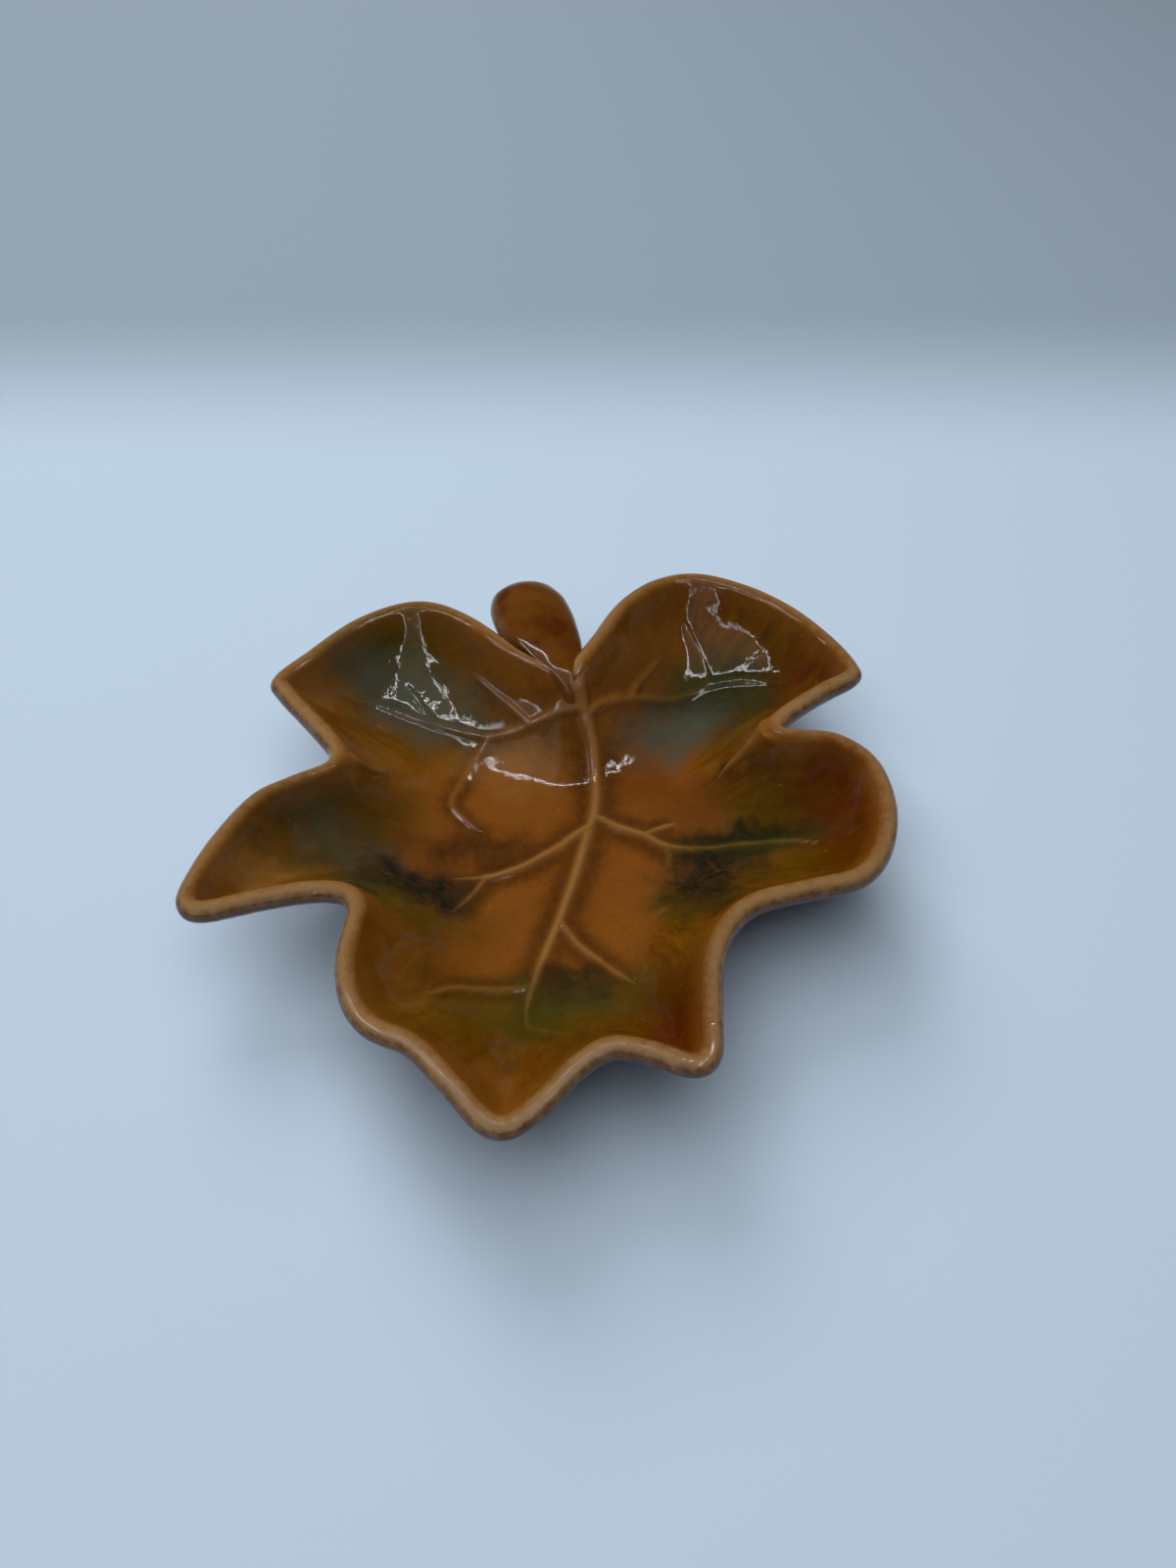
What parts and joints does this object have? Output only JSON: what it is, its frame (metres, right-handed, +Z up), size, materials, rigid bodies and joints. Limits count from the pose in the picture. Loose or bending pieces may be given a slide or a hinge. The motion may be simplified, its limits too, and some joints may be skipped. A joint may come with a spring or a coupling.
{
  "type": "leaf dish",
  "caption": "Shallow glazed ceramic dish in the shape of a lobed leaf, a broad bowl that grows steeper towards a rolled rim, raised veins, a thick stem in the notch and a low foot ring under a flat base.",
  "frame": {"origin": "on the table under the middle of the leaf: the middle of the plan's bounding box, at the foot ring's face", "axes": "+Z up out of the dish, +Y towards the stem and away from the front point, +X to the right as seen from the front point"},
  "size_m": [0.1548, 0.1546, 0.031],
  "materials": {
    "leaf_glaze": "amber and brown glaze with green and blue-black patches, high gloss, thin and tan on the veins and the rim",
    "stem_glaze": "brown glaze, high gloss, tan along its edges",
    "bare_clay": "bare fired clay, matt, wiped clean of glaze"
  },
  "bodies": {
    "root": {"leaf_shell": "leaf_glaze", "stem": "stem_glaze", "foot_ring": "bare_clay"}
  },
  "joints": []
}
